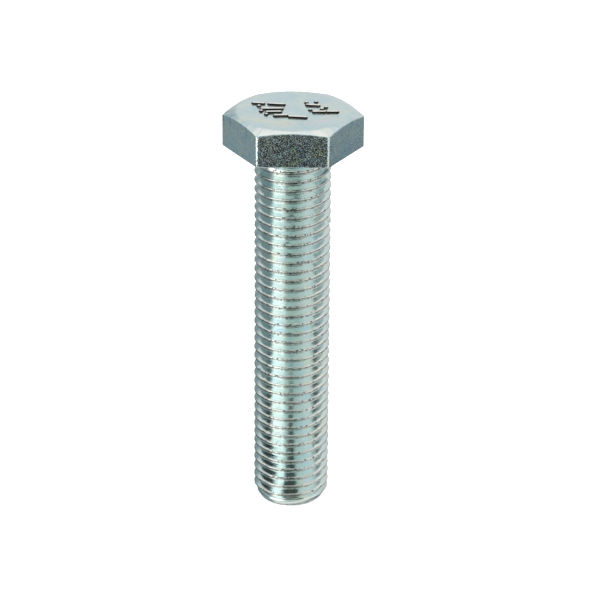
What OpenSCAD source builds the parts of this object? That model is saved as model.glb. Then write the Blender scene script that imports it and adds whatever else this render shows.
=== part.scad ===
// Fully threaded hexagon head bolt: M12 fine pitch, 60 mm long.
// All lengths are in millimetres. The origin is the centre of the bearing face,
// +Z runs along the axis towards the top of the head, and two flats face +Y and -Y.

/* [Head] */
// Size across the flats, where a wrench grips
across_flats = 19; // [17:0.1:24]
// Height from the bearing face to the flat top
head_h = 6; // [4:0.1:9]
// How far each of the six upright corners is worn back from a sharp point
corner_trim = 0.07; // [0.02:0.01:0.3]
// Distance from the rim of the flat top in to the flats
crown_gap = 0.8; // [0.3:0.05:1.2]
// Slope of the chamfer around the top, measured from level
crown_angle = 18.4; // [10:0.2:30]
// Distance from the rim of the washer face in to the flats
washer_gap = 0.8; // [0.3:0.05:1.2]
// How far the washer face stands below the hexagon
washer_t = 0.25; // [0.15:0.05:0.6]

/* [Shank] */
// Length from the bearing face to the end of the point
shank_l = 60; // [20:1:80]
// How far the fillet under the head reaches outside the crests
fillet_clear = 0.12; // [0.05:0.01:0.3]
// Plain neck between the fillet and the swell up to the crests
neck_l = 0.5; // [0.2:0.1:3]
// Length of the chamfer at the point
point_l = 1.8; // [0.8:0.1:3]
// How far the chamfer comes in at the point
point_in = 1.1; // [0.6:0.1:1.6]

/* [Thread] */
// Diameter over the crests, just under the nominal 12
crest_d = 11.95; // [9:0.05:15]
// Distance from one crest to the next
pitch = 1.5; // [1:0.05:2]
// Angle between the two sides of a groove
groove_angle = 60; // [50:1:60]
// Width of the flat left on a crest
crest_flat = 0.19; // [0.15:0.01:0.3]
// Width of the flat at the bottom of a groove
root_flat = 0.25; // [0.15:0.01:0.4]
// Direction of the groove's upper end, turned from +X towards +Y
start_angle = 170; // [0:5:355]
// Part of a turn over which the groove deepens from nothing
fade_in = 0.5; // [0.25:0.05:1]
// Straight pieces in one turn of the groove
turn_steps = 24; // [20:2:32]

/* [Marks] */
// Height of the raised marks on the flat top
mark_h = 0.3; // [0.1:0.05:0.4]
// Width of a raised bar, and the diameter of a raised dot
mark_w = 0.6; // [0.3:0.05:0.8]

/* [Hidden] */

flat_r = across_flats / 2;
corner_r = flat_r / cos(30);
top_r = flat_r - crown_gap;
washer_r = flat_r - washer_gap;
// The chamfer carried out to the sharp corners, where it is lowest
crown_drop = (corner_r - top_r) * tan(crown_angle);

crest_r = crest_d / 2;
thread_depth = (pitch - crest_flat - root_flat) / 2 / tan(groove_angle / 2);
root_r = crest_r - thread_depth;
// The blank that the thread is rolled on is as thick as the middle of a ridge's side,
// and the neck swells from that to the crests at 45 degrees
swell = thread_depth / 2;
neck_r = crest_r - swell;
fillet_r = swell + fillet_clear;
thread_top = -(fillet_r + neck_l + swell);

// The groove is cut by a helical bar that reaches a little outside the crests,
// but not so far that one turn of it would touch the next
overcut = 0.8 * crest_flat / 2 / tan(groove_angle / 2);
fade_steps = fade_in * turn_steps;
groove_steps = ceil((shank_l + thread_top) / pitch + 1) * turn_steps;

// Each bar is [x, y, length, turn] and each dot is [x, y], on a flat top of this radius.
// On a smaller or larger one they move in or out with its rim.
mark_top_r = 8.7;
mark_spread = top_r / mark_top_r;
BARS = [
    [-5.4, 2.9, 1.5, -8], [-2.6, 2.6, 2.2, -6], [-3.3, 0.5, 3.0, 3],
    [-3.0, -0.9, 2.0, 4], [-1.9, -2.4, 1.7, 5], [0.7, -3.0, 2.4, -6],
    [3.0, 2.2, 1.7, -8], [4.0, -0.7, 1.6, 2], [6.0, -0.6, 1.4, 2]
];
DOTS = [
    [-5.3, 1.7], [-4.9, -0.5], [-4.1, -1.9],
    [2.0, 3.4], [3.5, 3.7], [5.0, 1.3], [4.4, 0.5], [2.6, 0.2]
];

function half_width(r) = root_flat / 2 + (r - root_r) * tan(groove_angle / 2);

// How far the bar still is outside its full depth after i steps: it starts clear of the crests
function eased(t) = t * t * (3 - 2 * t);
function rise(i) = (thread_depth + overcut / 2) * eased(max(0, 1 - i / fade_steps));

// The four corners of the bar's section after i steps on its way down the shank
function section(i) =
    let (
        a = start_angle - 360 * i / turn_steps,
        z = thread_top - pitch * i / turn_steps
    )
    [for (c = [[root_r, 1], [crest_r + overcut, 1], [crest_r + overcut, -1], [root_r, -1]])
        [(c[0] + rise(i)) * cos(a), (c[0] + rise(i)) * sin(a), z + c[1] * half_width(c[0])]];

module helical_bar() {
    rows = [for (i = [0:groove_steps]) each section(i)];
    last = 4 * groove_steps;
    sides = [for (i = [0:groove_steps - 1], k = [0:3])
        let (a = 4 * i + k, b = 4 * i + (k + 1) % 4)
        each [[a, b, b + 4], [a, b + 4, a + 4]]];
    ends = [[3, 2, 1, 0], [last, last + 1, last + 2, last + 3]];
    polyhedron(points = rows, faces = concat(sides, ends));
}

module mark(x, y, length, turn) {
    translate([x, y, head_h]) rotate(turn) {
        translate([-length / 2, -mark_w / 2, 0]) cube([length, mark_w, mark_h]);
        for (side = [-1, 1])
            translate([side * length / 2, 0, 0]) cylinder(d = mark_w, h = mark_h, $fn = 32);
    }
}

// The forged head: a chamfered hexagon with a round washer face under it,
// a fillet down to the neck, and raised marks on its flat top
module hex_head() {
    color("#b4c0c4") {
        intersection() {
            translate([0, 0, washer_t])
                cylinder(r = corner_r, h = head_h - washer_t, $fn = 6);
            rotate_extrude($fn = 96)
                polygon([
                    [0, 0], [corner_r - corner_trim, 0],
                    [corner_r - corner_trim, head_h - crown_drop + corner_trim * tan(crown_angle)],
                    [top_r, head_h], [0, head_h]
                ]);
        }
        cylinder(r = washer_r, h = washer_t + 0.1, $fn = 96);
        rotate_extrude($fn = 96)
            difference() {
                translate([0, -fillet_r]) square([neck_r + fillet_r, fillet_r + 0.1]);
                translate([neck_r + fillet_r, -fillet_r]) circle(r = fillet_r, $fn = 48);
            }
        for (b = BARS)
            mark(b[0] * mark_spread, b[1] * mark_spread, b[2] * mark_spread, b[3]);
        for (d = DOTS)
            translate([d[0] * mark_spread, d[1] * mark_spread, head_h])
                cylinder(d = mark_w, h = mark_h, $fn = 32);
    }
}

// The rolled shank: a plain neck that swells to the crests, one right-hand groove
// from the neck to the end, and a chamfered point
module threaded_shank() {
    color("#9fb4b6")
        difference() {
            rotate_extrude($fn = 96)
                polygon([
                    [0, -fillet_r], [neck_r, -fillet_r], [neck_r, thread_top + swell],
                    [crest_r, thread_top], [crest_r, -shank_l + point_l],
                    [crest_r - point_in, -shank_l], [0, -shank_l]
                ]);
            helical_bar();
        }
}

hex_head();
threaded_shank();
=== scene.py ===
# A zinc-plated hexagon bolt, standing on its end on a pale floor.
from math import atan2, cos, hypot, pi, radians, sin, tan

import bmesh
import bpy
from mathutils import Matrix, Vector, noise


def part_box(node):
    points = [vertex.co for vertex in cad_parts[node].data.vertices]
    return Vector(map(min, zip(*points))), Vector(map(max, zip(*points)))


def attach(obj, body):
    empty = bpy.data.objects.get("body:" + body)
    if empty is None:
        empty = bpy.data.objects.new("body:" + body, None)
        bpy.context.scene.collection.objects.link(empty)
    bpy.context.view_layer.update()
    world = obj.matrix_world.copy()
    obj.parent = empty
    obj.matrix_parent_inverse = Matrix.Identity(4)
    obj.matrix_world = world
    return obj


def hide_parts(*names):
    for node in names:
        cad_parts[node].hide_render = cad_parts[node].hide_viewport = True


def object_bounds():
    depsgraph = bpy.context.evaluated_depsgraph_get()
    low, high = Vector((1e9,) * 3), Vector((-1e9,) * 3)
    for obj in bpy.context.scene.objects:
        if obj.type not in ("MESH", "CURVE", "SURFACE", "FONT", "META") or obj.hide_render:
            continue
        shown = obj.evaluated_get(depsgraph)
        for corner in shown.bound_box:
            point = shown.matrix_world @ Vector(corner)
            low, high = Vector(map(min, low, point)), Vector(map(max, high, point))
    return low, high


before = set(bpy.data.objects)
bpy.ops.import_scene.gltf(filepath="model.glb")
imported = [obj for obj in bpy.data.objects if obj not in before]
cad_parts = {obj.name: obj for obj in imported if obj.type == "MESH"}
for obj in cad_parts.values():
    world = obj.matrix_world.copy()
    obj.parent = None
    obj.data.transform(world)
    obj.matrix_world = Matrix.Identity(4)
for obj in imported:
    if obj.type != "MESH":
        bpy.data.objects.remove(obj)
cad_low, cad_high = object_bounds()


# ---------------------------------------------------------------- Head
# The head is forged cold from the end of the wire, then its six flats are sheared in a
# trimming die, which leaves them rough. The crown is a shallow cone down to the corners, and a
# thin round washer face under the hexagon bears on the work. A fillet runs into the shank.
MM = 0.001
head_low, head_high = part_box("hex_head")
mark_height = 0.3 * MM
head_top = head_high.z - mark_height
flat_reach = (head_high.y - head_low.y) / 2
corner_round = 0.5 * MM
crown_reach = flat_reach - 0.8 * MM
crown_slope = tan(radians(18.4))
washer_reach = flat_reach - 0.8 * MM
washer_height = 0.25 * MM
crest_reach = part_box("threaded_shank")[1].x
fillet_round = -head_low.z
neck_reach = crest_reach + 0.12 * MM - fillet_round
rim_soft = 0.3 * MM
crown_edge_soft = 0.13 * MM
lower_edge_soft = 0.2 * MM
washer_edge_soft = 0.06 * MM
ragged_grain = 0.35 * MM
ragged_depth = 0.09 * MM
burr_depth = 0.10 * MM
CORNER_STEPS = 8
SIDE_CUTS = 29
FILLET_STEPS = 8


def add_ring(bm, loop, place):
    """Extrudes a closed loop of edges, puts each new vertex where place says, and returns the new loop."""
    made = bmesh.ops.extrude_edge_only(bm, edges=loop)["geom"]
    for vert in (g for g in made if isinstance(g, bmesh.types.BMVert)):
        vert.co = place(vert.co)
    return [g for g in made if isinstance(g, bmesh.types.BMEdge)]


def at_radius(co, radius, z):
    flat = Vector((co.x, co.y, 0)).normalized() * radius
    return Vector((flat.x, flat.y, z))


def crown_z(co):
    return head_top - (hypot(co.x, co.y) - crown_reach) * crown_slope


def near(value, target):
    return abs(value - target) < 0.001 * MM


def on_loop(bm, test):
    return [e for e in bm.edges if all(test(v.co) for v in e.verts)]


def soften(bm, edges, width, segments):
    bmesh.ops.bevel(bm, geom=edges, offset=width, offset_type="OFFSET",
                    affect="EDGES", segments=segments, profile=0.5, material=-1)


def new_piece(name, bm):
    """Makes the object from the bmesh, with its normals outwards, and lets it ride on the body."""
    bmesh.ops.recalc_face_normals(bm, faces=bm.faces)
    for face in bm.faces:
        face.smooth = True
    mesh = bpy.data.meshes.new(name)
    bm.to_mesh(mesh)
    bm.free()
    piece = bpy.data.objects.new(name, mesh)
    bpy.context.scene.collection.objects.link(piece)
    even = piece.modifiers.new("even shading", "WEIGHTED_NORMAL")
    even.keep_sharp = True
    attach(piece, "root")
    return piece


# The outline: a hexagon with its corners rounded and its sides divided
bm = bmesh.new()
bmesh.ops.create_circle(bm, cap_ends=True, segments=6, radius=flat_reach / cos(radians(30)),
                        matrix=Matrix.Rotation(radians(30), 4, "Z"))
bmesh.ops.bevel(bm, geom=bm.verts[:], offset=corner_round * tan(radians(30)), offset_type="OFFSET",
                affect="VERTICES", segments=CORNER_STEPS, profile=0.5, material=-1)
long_sides = [e for e in bm.edges if e.calc_length() > flat_reach / 2]
bmesh.ops.subdivide_edges(bm, edges=long_sides, cuts=SIDE_CUTS)
bmesh.ops.delete(bm, geom=bm.faces[:], context="FACES_ONLY")
outline = bm.edges[:]
# The shear leaves the edge between crown and flats a little ragged
for v in bm.verts:
    v.co.z = crown_z(v.co) + noise.noise(v.co / ragged_grain) * ragged_depth

# Upwards from the outline: the crown and the flat top, closed by a small face in the middle
ring = add_ring(bm, outline, lambda co: at_radius(co, crown_reach, head_top))
for share in (0.8, 0.6, 0.4, 0.2):
    ring = add_ring(bm, ring, lambda co: at_radius(co, crown_reach * share, head_top))
bmesh.ops.holes_fill(bm, edges=ring, sides=0)

# Downwards: the flats, the underside, the washer face and the fillet
ring = outline
for share in (0.66, 0.33, 0.0):
    ring = add_ring(bm, ring, lambda co: Vector(
        (co.x, co.y, washer_height + share * (crown_z(co) - washer_height))))
ring = add_ring(bm, ring, lambda co: at_radius(co, washer_reach, washer_height))
ring = add_ring(bm, ring, lambda co: at_radius(co, washer_reach, 0))
for step in range(FILLET_STEPS + 1):
    turn = pi / 2 * step / FILLET_STEPS
    reach = neck_reach + fillet_round * (1 - sin(turn))
    drop = fillet_round * (1 - cos(turn))
    ring = add_ring(bm, ring, lambda co: at_radius(co, reach, -drop))
bmesh.ops.holes_fill(bm, edges=ring, sides=0)


def outer(co):
    return hypot(co.x, co.y) > crown_reach + rim_soft


def at_crown_edge(co):
    return abs(co.z - crown_z(co)) < burr_depth


soften(bm, on_loop(bm, lambda co: near(co.z, head_top) and near(hypot(co.x, co.y), crown_reach)),
       rim_soft, 3)
soften(bm, on_loop(bm, lambda co: outer(co) and at_crown_edge(co)), crown_edge_soft, 4)
soften(bm, on_loop(bm, lambda co: outer(co) and near(co.z, washer_height)), lower_edge_soft, 4)
soften(bm, on_loop(bm, lambda co: near(co.z, 0) and near(hypot(co.x, co.y), washer_reach)),
       washer_edge_soft, 2)

# The shear also tears a burr along the top of the flats, a thin line that the material reads
burr = bm.verts.layers.float.new("burr")
for v in bm.verts:
    v[burr] = 1.0 if outer(v.co) and at_crown_edge(v.co) else 0.0

# The flats are the outer faces that stand upright above the washer face
flat_faces = [f for f in bm.faces if abs(f.normal.z) < 0.3 and outer(f.calc_center_median())
              and f.calc_center_median().z > washer_height]
for f in flat_faces:
    f.material_index = 1
head = new_piece("head", bm)
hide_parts("hex_head")


def add_node(tree, kind, inputs=None, **settings):
    """A node with its settings. Each input takes a value or another node's output."""
    made = tree.nodes.new("ShaderNode" + kind)
    for name, value in settings.items():
        setattr(made, name, value)
    for name, value in (inputs or {}).items():
        if isinstance(value, bpy.types.NodeSocket):
            tree.links.new(value, made.inputs[name])
        else:
            made.inputs[name].default_value = value
    return made


def calc(tree, operation, *values):
    inputs = dict(enumerate(values))
    return add_node(tree, "Math", inputs, operation=operation).outputs[0]


def eased_step(tree, value, low, high):
    inputs = {"Value": value, "From Min": low, "From Max": high}
    return add_node(tree, "MapRange", inputs, interpolation_type="SMOOTHSTEP").outputs["Result"]


def mixed(tree, factor, a, b):
    inputs = {"Factor": factor}
    for name, value in (("A", a), ("B", b)):
        inputs[name] = (*value, 1) if isinstance(value, tuple) else value
    return add_node(tree, "Mix", inputs, data_type="RGBA").outputs["Result"]


def cloud(tree, place, scale, detail=2.0, rough=0.5, twist=0.0):
    inputs = {"Vector": place, "Scale": scale, "Detail": detail, "Roughness": rough, "Distortion": twist}
    return add_node(tree, "TexNoise", inputs).outputs["Fac"]


# The skin of the plating, shared by the head, its marks and the thread: zinc under a thin blue
# chromate film, which turns bluer, yellower or pinker in soft patches, over a fine grain.
skin = bpy.data.node_groups.new("zinc_skin", "ShaderNodeTree")
for name, kind in (("Place", "Vector"), ("Zinc", "Color"), ("Blue film", "Color"), ("Yellow film", "Color"),
                   ("Pink film", "Color"), ("Patch scale", "Float"), ("Grain scale", "Float"),
                   ("Smooth", "Float"), ("Dull", "Float")):
    skin.interface.new_socket(name, in_out="INPUT", socket_type="NodeSocket" + kind)
for name, kind in (("Colour", "Color"), ("Roughness", "Float"), ("Grain", "Float")):
    skin.interface.new_socket(name, in_out="OUTPUT", socket_type="NodeSocket" + kind)
given = skin.nodes.new("NodeGroupInput").outputs
place, patch, grain_scale = given["Place"], given["Patch scale"], given["Grain scale"]
# Yellow and pink read the same cloud as blue from far off, so their patches lie elsewhere
moved = add_node(skin, "VectorMath", {0: place, 1: (31.0, 17.0, 5.0)}, operation="ADD").outputs[0]
moved_on = add_node(skin, "VectorMath", {0: place, 1: (-13.0, 41.0, 9.0)}, operation="ADD").outputs[0]
patchy = {"scale": patch, "detail": 3, "rough": 0.6, "twist": 0.8}
blue = eased_step(skin, cloud(skin, place, **patchy), low=0.40, high=0.66)
yellow = eased_step(skin, cloud(skin, moved, **patchy), low=0.50, high=0.72)
pink = eased_step(skin, cloud(skin, moved_on, **patchy), low=0.52, high=0.74)
tone = mixed(skin, blue, given["Zinc"], given["Blue film"])
tone = mixed(skin, yellow, tone, given["Yellow film"])
tone = mixed(skin, pink, tone, given["Pink film"])
grain = cloud(skin, place, grain_scale, detail=2, rough=0.6)
fine = eased_step(skin, grain, low=0.3, high=0.7)
lift, darkest = 0.05, 0.96
shade = calc(skin, "MULTIPLY_ADD", fine, lift, darkest)
tone = add_node(skin, "VectorMath", {0: tone, "Scale": shade}, operation="SCALE").outputs[0]
dull_scale = calc(skin, "MULTIPLY", patch, 2.3)
dulled = cloud(skin, moved_on, dull_scale, detail=4, rough=0.65)
rough = add_node(skin, "MapRange", {"Value": dulled, "From Min": 0.3, "From Max": 0.7,
                                    "To Min": given["Smooth"], "To Max": given["Dull"]}).outputs["Result"]
leaves = skin.nodes.new("NodeGroupOutput").inputs
for name, value in (("Colour", tone), ("Roughness", rough), ("Grain", grain)):
    skin.links.new(value, leaves[name])


def zinc_material(name, **looks):
    """A metal material with the shared skin. Returns its tree, its shader, its skin and its place in mm."""
    material = bpy.data.materials.new(name)
    material.use_nodes = True
    tree = material.node_tree
    shader = tree.nodes["Principled BSDF"]
    shader.inputs["Metallic"].default_value = 1.0
    at = add_node(tree, "TexCoord").outputs["Object"]
    place = add_node(tree, "Mapping", {"Vector": at, "Scale": (1 / MM, 1 / MM, 1 / MM)}).outputs[0]
    plating = tree.nodes.new("ShaderNodeGroup")
    plating.node_tree = skin
    tree.links.new(place, plating.inputs["Place"])
    for label, value in looks.items():
        socket = plating.inputs[label.replace("_", " ")]
        socket.default_value = (*value, 1) if isinstance(value, tuple) else value
    tree.links.new(plating.outputs["Roughness"], shader.inputs["Roughness"])
    return material, tree, shader, plating, place


def bumped(tree, height, depth, below=None):
    """A bump whose height of 1 stands depth metres proud, over another bump if one is given."""
    inputs = {"Height": height, "Distance": depth, "Strength": 1.0}
    if below:
        inputs["Normal"] = below
    return add_node(tree, "Bump", inputs).outputs["Normal"]


# Top, crown and underside: forged smooth, with faint handling scratches
head_zinc, tree, shader, plating, place = zinc_material(
    "head_zinc", Zinc=(0.65, 0.82, 0.85), Blue_film=(0.57, 0.77, 0.85), Yellow_film=(0.73, 0.84, 0.79),
    Pink_film=(0.73, 0.79, 0.85), Patch_scale=0.20, Grain_scale=5.0, Smooth=0.14, Dull=0.28)
drawn = add_node(tree, "Mapping", {"Vector": place, "Rotation": (0, 0, radians(28)),
                                   "Scale": (0.25, 6.0, 1.0)}).outputs[0]
scratch = eased_step(tree, cloud(tree, drawn, scale=1.0, detail=3, rough=0.7), low=0.60, high=0.68)
scratch_colour = (0.80, 0.86, 0.86)
faint = calc(tree, "MULTIPLY", scratch, 0.35)
tone = mixed(tree, faint, plating.outputs["Colour"], scratch_colour)
tree.links.new(tone, shader.inputs["Base Color"])
dents = cloud(tree, place, scale=0.9, detail=2, rough=0.5)
normal = bumped(tree, dents, 0.025 * MM)
normal = bumped(tree, plating.outputs["Grain"], 0.002 * MM, normal)
normal = bumped(tree, scratch, -0.004 * MM, normal)
tree.links.new(normal, shader.inputs["Normal"])

# The six flats: sheared, so they are pitted all over and torn along the top
flat_zinc, tree, shader, plating, place = zinc_material(
    "flat_zinc", Zinc=(0.70, 0.84, 0.85), Blue_film=(0.50, 0.72, 0.86), Yellow_film=(0.73, 0.83, 0.69),
    Pink_film=(0.70, 0.74, 0.85), Patch_scale=0.35, Grain_scale=5.5, Smooth=0.08, Dull=0.16)
pit_colour = (0.54, 0.62, 0.61)
torn_colour = (0.16, 0.17, 0.16)
broken = eased_step(tree, cloud(tree, place, scale=2.2, detail=2, rough=0.6), low=0.38, high=0.55)
torn = add_node(tree, "Attribute", attribute_name="burr").outputs["Fac"]
torn = calc(tree, "MULTIPLY", torn, broken)
sound = eased_step(tree, cloud(tree, place, scale=4.5, detail=1, rough=0.5), low=0.36, high=0.46)
tone = mixed(tree, sound, pit_colour, plating.outputs["Colour"])
tone = mixed(tree, torn, tone, torn_colour)
tree.links.new(tone, shader.inputs["Base Color"])
normal = bumped(tree, cloud(tree, place, scale=0.8, detail=2, rough=0.5), 0.035 * MM)
normal = bumped(tree, plating.outputs["Grain"], 0.018 * MM, normal)
facets = add_node(tree, "TexVoronoi", {"Vector": place, "Scale": 5.2}).outputs["Distance"]
normal = bumped(tree, facets, 0.028 * MM, normal)
tree.links.new(normal, shader.inputs["Normal"])
head.data.materials.append(head_zinc)
head.data.materials.append(flat_zinc)


# ---------------------------------------------------------------- Marks
# Forging also raises a few plain bars and dots on the flat top, where such a head carries its
# maker's and strength marks. They are low, steep at the sides and spread at the foot, and they
# stand for no letter. Bars are (x, y, length, turn in degrees) and dots (x, y), in mm.
bars = [
    (-5.4, 2.9, 1.5, -8), (-2.6, 2.6, 2.2, -6), (-3.3, 0.5, 3.0, 3),
    (-3.0, -0.9, 2.0, 4), (-1.9, -2.4, 1.7, 5), (0.7, -3.0, 2.4, -6),
    (3.0, 2.2, 1.7, -8), (4.0, -0.7, 1.6, 2), (6.0, -0.6, 1.4, 2),
]
dots = [
    (-5.3, 1.7), (-4.9, -0.5), (-4.1, -1.9),
    (2.0, 3.4), (3.5, 3.7), (5.0, 1.3), (4.4, 0.5), (2.6, 0.2),
]
mark_width = 0.6 * MM
mark_rim_soft = 0.13 * MM
# Up the side of a mark, in mm: how far it spreads past half the width, and at what height
mark_side = [(0.16, -0.02), (0.07, 0.02), (0.03, 0.08), (0.00, 0.16), (-0.04, 0.3)]
marks_bm = bmesh.new()
for x, y, length, turn in bars + [(x, y, 0.0, 0) for x, y in dots]:
    half = length / 2 * MM
    one = bmesh.new()
    bmesh.ops.create_circle(one, cap_ends=True, segments=24, radius=mark_width / 2)
    for v in one.verts:
        v.co.x += half if v.co.x > 0 else -half
    top = one.verts[:]
    bottom = one.faces[:]
    layer = bottom
    for spread, up in mark_side:
        for v in top:
            spine = Vector((max(-half, min(half, v.co.x)), 0, 0))
            out = Vector((v.co.x - spine.x, v.co.y, 0)).normalized()
            v.co = spine + out * (mark_width / 2 + spread * MM) + Vector((0, 0, up * MM))
        if up * MM < mark_height:
            raised = bmesh.ops.extrude_face_region(one, geom=layer)["geom"]
            if layer != bottom:
                bmesh.ops.delete(one, geom=layer, context="FACES_ONLY")
            layer = [g for g in raised if isinstance(g, bmesh.types.BMFace)]
            top = [g for g in raised if isinstance(g, bmesh.types.BMVert)]
    soften(one, [e for e in one.edges if all(v in top for v in e.verts)], mark_rim_soft, 3)
    put = (Matrix.Translation((x * MM, y * MM, head_top))
           @ Matrix.Rotation(radians(turn), 4, "Z"))
    bmesh.ops.transform(one, matrix=put, verts=one.verts[:])
    bmesh.ops.recalc_face_normals(one, faces=one.faces[:])
    shape = bpy.data.meshes.new("mark")
    one.to_mesh(shape)
    one.free()
    marks_bm.from_mesh(shape)
    bpy.data.meshes.remove(shape)
marks = new_piece("head_marks", marks_bm)

# The steep sides get a painted shade, near black, and the tops a painted highlight, paler than the zinc
mark_zinc, tree, shader, plating, place = zinc_material(
    "mark_zinc", Zinc=(0.88, 0.94, 0.94), Blue_film=(0.80, 0.90, 0.93), Yellow_film=(0.90, 0.93, 0.90),
    Pink_film=(0.90, 0.91, 0.93), Patch_scale=0.5, Grain_scale=4.0, Smooth=0.12, Dull=0.24)
# Painted shade: the sides of the marks are painted near black
painted_side_shade = (0.03, 0.035, 0.03)
waver = 0.06
wander = cloud(tree, place, scale=1.6, detail=2, rough=0.6)
wander = calc(tree, "MULTIPLY_ADD", wander, waver, -waver / 2 - head_top / MM)
above_top = calc(tree, "ADD", add_node(tree, "SeparateXYZ", {0: place}).outputs["Z"], wander)
off_foot = eased_step(tree, above_top, low=-0.02, high=0.02)
under_rim = eased_step(tree, above_top, low=0.27, high=0.23)
# The band up the sides of the marks that takes the painted shade
side_shade_mask = calc(tree, "MULTIPLY", off_foot, under_rim)
tone = mixed(tree, side_shade_mask, plating.outputs["Colour"], painted_side_shade)
tree.links.new(tone, shader.inputs["Base Color"])
tree.links.new(bumped(tree, plating.outputs["Grain"], 0.006 * MM), shader.inputs["Normal"])
marks.data.materials.append(mark_zinc)


# ---------------------------------------------------------------- Threaded shank
# The shank is the same metal, rolled between dies: a plain neck swells up to the crests, and
# one right-hand groove runs from there to the chamfered point. Rolling rounds the crests and
# the roots, and leaves small nicks and laps along them.
shank_low, shank_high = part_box("threaded_shank")
pitch = 1.5 * MM
half_angle = radians(30)
thread_depth = 0.918 * MM
root_round = 0.2165 * MM
crest_round = 0.1645 * MM
thread_top = -1.538 * MM
thread_swell = thread_depth / 2
groove_start = radians(170)
fade_turns = 0.5
point_length = 1.8 * MM
point_inset = 1.1 * MM
point_soft = 0.35 * MM
root_reach = crest_reach - thread_depth
lump_size = 2.2 * MM
lump_height = 0.012 * MM
nick_size = 0.8 * MM
nick_depth = 0.35 * MM
nick_rarity = 0.35
nick_zone = 0.3 * MM
TURN_STEPS = 96
ARC_STEPS = 4


def half_groove():
    """(distance along the axis from the groove's middle, radius), from the root up to a crest."""
    points = []
    for step in range(ARC_STEPS + 1):
        lean = (pi / 2 - half_angle) * step / ARC_STEPS
        points.append((root_round * sin(lean), root_reach + root_round * (1 - cos(lean))))
    crest = pitch / 2
    arc = []
    for step in range(ARC_STEPS + 1):
        lean = (pi / 2 - half_angle) * (1 - step / ARC_STEPS)
        arc.append((crest - crest_round * sin(lean), crest_reach - crest_round * (1 - cos(lean))))
    # Two points near the ends of the straight flank keep it shading flat between them
    ends = [Vector(points[-1]), Vector(arc[0])]
    held = [tuple(ends[0].lerp(ends[1], share)) for share in (0.07, 0.93)]
    return points + held + arc


def eased(share):
    return share * share * (3 - 2 * share)


rise = half_groove()
profile = [(-d, r) for d, r in rise] + [(d - pitch, r) for d, r in reversed(rise[:-1])]
extra_turns = 3
first_groove = thread_top + extra_turns * pitch
turns = int((first_groove - shank_low.z) / pitch) + 2
bm = bmesh.new()
line = []
for d, r in profile:
    line.append(bm.verts.new((r * cos(groove_start), r * sin(groove_start), first_groove + d)))
edges = [bm.edges.new(pair) for pair in zip(line, line[1:])]
bmesh.ops.spin(bm, geom=line + edges, cent=(0, 0, 0), axis=(0, 0, 1), angle=-2 * pi,
               steps=TURN_STEPS, dvec=(0, 0, -pitch / TURN_STEPS))
one_turn = bm.verts[:] + bm.edges[:] + bm.faces[:]
for turn in range(1, turns):
    copied = bmesh.ops.duplicate(bm, geom=one_turn)["geom"]
    copies = [g for g in copied if isinstance(g, bmesh.types.BMVert)]
    bmesh.ops.translate(bm, vec=(0, 0, -pitch * turn), verts=copies)
bmesh.ops.remove_doubles(bm, verts=bm.verts[:], dist=0.002 * MM)


def groove_turn(angle, z):
    """How many turns the groove nearest to this place has run since it began."""
    behind = ((groove_start - angle) / (2 * pi)) % 1
    return behind + round((thread_top - z) / pitch - behind)


def blank_reach(z):
    """The bolt's outer profile without its groove: the neck, the swell, the crests and the point."""
    if z > thread_top:
        share = min(1, (z - thread_top) / thread_swell)
        return crest_reach - thread_swell * eased(share)
    up = z - shank_low.z
    cone = crest_reach - point_inset * (1 - up / point_length)
    if up < point_soft:
        cone -= point_soft * 0.5 * (1 - up / point_soft) ** 2
    return min(crest_reach, cone)


# Every turn so far is full depth: here the groove fades in, the metal gets its small lumps and
# nicks, and all of it is brought inside the blank's outline
for v in bm.verts:
    radius = hypot(v.co.x, v.co.y)
    begun = groove_turn(atan2(v.co.y, v.co.x), v.co.z) / fade_turns
    fade = eased(max(0, min(1, begun)))
    wanted = crest_reach - (crest_reach - radius) * fade
    lump = noise.noise(v.co / lump_size) * lump_height
    if radius > crest_reach - nick_zone:
        nick = max(0, noise.noise(v.co / nick_size) - nick_rarity)
        lump -= nick * nick_depth
    wanted = min(wanted + lump, blank_reach(v.co.z))
    v.co.x *= wanted / radius
    v.co.y *= wanted / radius

# Both ends are cut square and closed, and the closed ends stay out of the smooth shading
for height, up in ((shank_high.z, 1), (shank_low.z, -1)):
    bmesh.ops.bisect_plane(bm, geom=bm.verts[:] + bm.edges[:] + bm.faces[:], dist=0.0001 * MM,
                           plane_co=(0, 0, height), plane_no=(0, 0, up), clear_outer=True)
    rim = [e for e in bm.edges if e.is_boundary and all(near(v.co.z, height) for v in e.verts)]
    bmesh.ops.holes_fill(bm, edges=rim, sides=0)
for edge in bm.edges:
    edge.smooth = not any(abs(f.normal.z) > 0.999 for f in edge.link_faces)
shank = new_piece("shank", bm)
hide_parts("threaded_shank")

# The rolled zinc is bright on the flanks, and the roots get a painted shade, darker and brownish.
# It is marked by the dies along the helix, so its streaks are long round the bolt and thin across
# it. Crests and roots have small dark nicks.
thread_zinc, tree, shader, plating, place = zinc_material(
    "thread_zinc", Zinc=(0.72, 0.86, 0.85), Blue_film=(0.60, 0.79, 0.86), Yellow_film=(0.78, 0.87, 0.76),
    Pink_film=(0.80, 0.82, 0.86), Patch_scale=0.30, Grain_scale=6.0, Smooth=0.07, Dull=0.18)
axes = add_node(tree, "SeparateXYZ", {0: place})
flat_place = add_node(tree, "CombineXYZ", {"X": axes.outputs["X"], "Y": axes.outputs["Y"]}).outputs[0]
radius = add_node(tree, "VectorMath", {0: flat_place}, operation="LENGTH").outputs["Value"]
round_place = add_node(tree, "VectorMath", {0: flat_place}, operation="NORMALIZE").outputs[0]
round_axes = add_node(tree, "SeparateXYZ", {0: round_place})
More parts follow.
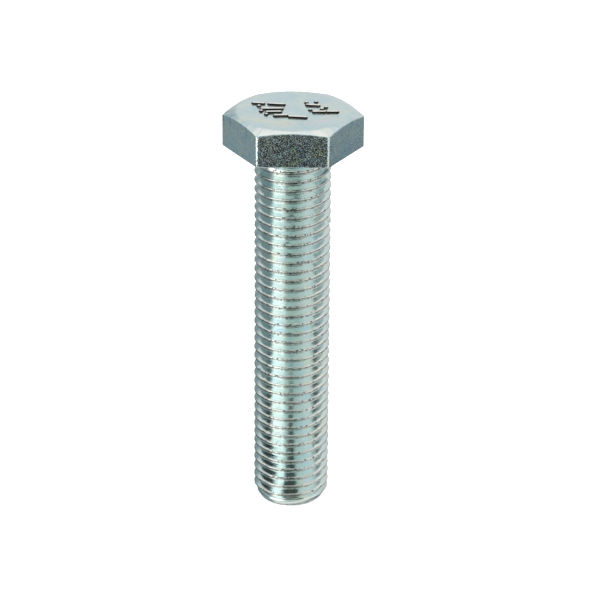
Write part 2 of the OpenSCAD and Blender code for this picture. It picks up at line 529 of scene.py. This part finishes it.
# How fine the streaks are round the bolt, up it and out from its axis
per_turn, per_height, per_depth = 3.0, 0.9, 14.0
turned_x = calc(tree, "MULTIPLY", round_axes.outputs["X"], per_turn)
turned_y = calc(tree, "MULTIPLY", round_axes.outputs["Y"], per_turn)
along = add_node(tree, "CombineXYZ", {
    "X": turned_x,
    "Y": calc(tree, "MULTIPLY_ADD", axes.outputs["Z"], per_height, turned_y),
    "Z": calc(tree, "MULTIPLY", radius, per_depth)}).outputs[0]
streak = eased_step(tree, cloud(tree, along, scale=1.0, detail=3, rough=0.6), low=0.35, high=0.65)

# Where a point lies between root and crest, in mm from the axis, with a wandering limit
streak_colour = (0.70, 0.81, 0.80)
# Painted shade: the colour the roots of the groove are painted, darker and brownish
root_shade_colour = (0.40, 0.40, 0.37)
crest_colour = (0.72, 0.70, 0.66)
nick_colour = (0.14, 0.14, 0.13)
waver = 0.16
wander = cloud(tree, place, scale=2.5, detail=2, rough=0.6)
level = calc(tree, "ADD", radius, calc(tree, "MULTIPLY_ADD", wander, waver, -waver / 2))
root_mm = root_reach / MM
crest_mm = crest_reach / MM
end_mm = shank_low.z / MM
out_of_root = eased_step(tree, level, low=root_mm - 0.03, high=root_mm + 0.08)
on_end = eased_step(tree, axes.outputs["Z"], low=end_mm + 0.12, high=end_mm + 0.04)
out_of_root = calc(tree, "MAXIMUM", out_of_root, on_end)
on_crest = eased_step(tree, level, low=crest_mm - 0.10, high=crest_mm - 0.03)
worn = calc(tree, "MULTIPLY", on_crest, 0.6)
in_root = calc(tree, "SUBTRACT", 1.0, out_of_root)
nicks = eased_step(tree, cloud(tree, place, scale=2.6, detail=1, rough=0.5), low=0.58, high=0.64)
nicked = calc(tree, "MULTIPLY", nicks, calc(tree, "MAXIMUM", on_crest, in_root))
tone = mixed(tree, streak, plating.outputs["Colour"], streak_colour)
# The roots take the painted shade, and the flanks and crests keep the zinc
tone = mixed(tree, out_of_root, root_shade_colour, tone)
tone = mixed(tree, worn, tone, crest_colour)
tone = mixed(tree, nicked, tone, nick_colour)
tree.links.new(tone, shader.inputs["Base Color"])
normal = bumped(tree, cloud(tree, place, scale=0.7, detail=2, rough=0.5), 0.016 * MM)
normal = bumped(tree, streak, 0.002 * MM, normal)
normal = bumped(tree, plating.outputs["Grain"], 0.004 * MM, normal)
tree.links.new(normal, shader.inputs["Normal"])
shank.data.materials.append(thread_zinc)


# ---------------------------------------------------------------- Floor and light
# The bolt stands on its end on a pale seamless floor. The polished zinc mirrors the studio
# round it: a pale wall behind, a bright soft box on the left towards the front, a softer one on
# the right, a grey-green room in front with a dark band over it, and a bright ceiling.
floor_bm = bmesh.new()
bmesh.ops.create_grid(floor_bm, x_segments=1, y_segments=1, size=3)
bmesh.ops.translate(floor_bm, vec=(0, 0, cad_low.z), verts=floor_bm.verts[:])
floor_mesh = bpy.data.meshes.new("floor")
floor_bm.to_mesh(floor_mesh)
floor_bm.free()
floor = bpy.data.objects.new("floor", floor_mesh)
bpy.context.scene.collection.objects.link(floor)
floor.visible_glossy = False
pale = bpy.data.materials.new("pale_floor")
pale.use_nodes = True
paint = pale.node_tree.nodes["Principled BSDF"]
paint.inputs["Base Color"].default_value = (0.9, 0.9, 0.9, 1)
paint.inputs["Roughness"].default_value = 0.9
paint.inputs["Emission Color"].default_value = (1, 1, 1, 1)
paint.inputs["Emission Strength"].default_value = 0.75
floor_mesh.materials.append(pale)

# Dark felt cards lie on the floor round the bolt, and only its reflections see them. The far
# one is for the front flat of the head, the others for the thread. Places are in mm.
card_lift = 0.1 * MM
for name, shade, left, right, front, back in (
    ("card_far", 0.02, -75, 75, -700, -92),
    ("card_near", 0.09, -5, 4, -40, -7),
    ("card_left", 0.03, -76, -12, -15, 65),
    ("card_right", 0.03, 50, 140, -20, 60),
):
    felt = bpy.data.materials.new(name)
    felt.use_nodes = True
    nap = felt.node_tree.nodes["Principled BSDF"]
    nap.inputs["Base Color"].default_value = (shade, shade, shade, 1)
    nap.inputs["Roughness"].default_value = 1.0
    card_bm = bmesh.new()
    bmesh.ops.create_grid(card_bm, x_segments=1, y_segments=1, size=0.5 * MM)
    bmesh.ops.scale(card_bm, vec=(right - left, back - front, 1), verts=card_bm.verts[:])
    middle = Vector(((left + right) / 2 * MM, (front + back) / 2 * MM, cad_low.z + card_lift))
    bmesh.ops.translate(card_bm, vec=middle, verts=card_bm.verts[:])
    card_mesh = bpy.data.meshes.new(name)
    card_bm.to_mesh(card_mesh)
    card_bm.free()
    card_mesh.materials.append(felt)
    card = bpy.data.objects.new(name, card_mesh)
    bpy.context.scene.collection.objects.link(card)
    card.visible_camera = card.visible_diffuse = card.visible_shadow = False

world = bpy.data.worlds.new("studio")
bpy.context.scene.world = world
world.use_nodes = True
studio = world.node_tree
studio.nodes.clear()
axes = add_node(studio, "SeparateXYZ", {0: add_node(studio, "TexCoord").outputs["Generated"]})
around = calc(studio, "ARCTAN2", axes.outputs["X"], axes.outputs["Y"])
height = calc(studio, "ARCSINE", axes.outputs["Z"])


def light_box(azimuth, half_width, low, high, soft):
    """A mask, 1 inside the box. Azimuth 0 is straight behind the bolt, and 90 is to its right."""
    off_centre = calc(studio, "SUBTRACT", around, radians(azimuth))
    off_centre = calc(studio, "ABSOLUTE", calc(studio, "WRAP", off_centre, pi, -pi))
    across = eased_step(studio, off_centre, radians(half_width + soft), radians(half_width - soft))
    above = eased_step(studio, height, radians(low - soft), radians(low + soft))
    below = eased_step(studio, height, radians(high + soft), radians(high - soft))
    return calc(studio, "MULTIPLY", across, calc(studio, "MULTIPLY", above, below))


def cool(level):
    return (level * 0.84, level, level * 1.03)


def teal(level):
    return (level * 0.89, level, level * 0.93)


def white(level):
    return (level * 1.03, level, level * 0.97)


def warm(level):
    return (level * 1.29, level * 1.06, level * 0.97)


# Round the horizon, the room turns from dim below to pale above. The boxes go over it in this
# order, each with its azimuth, half its width, its lower and upper edge and its softness in
# degrees, and its light.
room = eased_step(studio, height, low=radians(-5), high=radians(20))
sky = mixed(studio, room, cool(0.34), white(0.70))
for azimuth, half_width, low, high, soft, light in (
    (10, 60, -12, 91, 8, white(0.76)),
    (62, 34, -8, 22, 6, white(0.62)),
    (-55, 42, -60, 26, 8, cool(0.33)),
    (60, 34, -70, -12, 6, cool(0.30)),
    (180, 40, -70, 24, 6, teal(0.70)),
    (-131, 26, -70, 28, 14, white(0.95)),
    (-131, 22, -32, 28, 6, white(1.80)),
    (115, 32, -70, 28, 18, white(0.92)),
    (180, 40, 28, 52, 3, white(0.05)),
    (0, 60, 47, 91, 8, warm(1.00)),
    (0, 181, 72, 91, 6, white(1.00)),
    (0, 181, -91, -62, 6, white(0.85)),
):
    sky = mixed(studio, light_box(azimuth, half_width, low, high, soft), sky, light)

# The camera sees plain white behind the bolt, and only lighting and reflections see the studio
seen = add_node(studio, "Background", {"Color": (1, 1, 1, 1)})
mirrored = add_node(studio, "Background", {"Color": sky})
by_camera = add_node(studio, "LightPath").outputs["Is Camera Ray"]
either = add_node(studio, "MixShader", {"Fac": by_camera, 1: mirrored.outputs[0], 2: seen.outputs[0]})
add_node(studio, "OutputWorld", {"Surface": either.outputs[0]})
bpy.context.scene.view_settings.view_transform = "Standard"


# ---------------------------------------------------------------- Camera
# A long lens 0.44 m from the head and 0.16 m above it, tilted down at the bolt. It stands in
# front of one flat, 3 mm to the right of the bolt's axis.
camera_place = Vector((1.25 * MM, -406.5 * MM, 156.5 * MM))
tilt_down = radians(24.15)
swing = radians(0.26)
roll = radians(0.43)
camera_data = bpy.data.cameras.new("camera")
camera_data.sensor_width = 36
camera_data.lens = 169.4
camera_data.clip_start = 0.01
camera_data.clip_end = 10
camera = bpy.data.objects.new("camera", camera_data)
bpy.context.scene.collection.objects.link(camera)
camera.matrix_world = (
    Matrix.Rotation(swing, 4, "Z")
    @ Matrix.Translation(camera_place)
    @ Matrix.Rotation(radians(90) - tilt_down, 4, "X")
    @ Matrix.Rotation(roll, 4, "Z")
)
bpy.context.scene.camera = camera
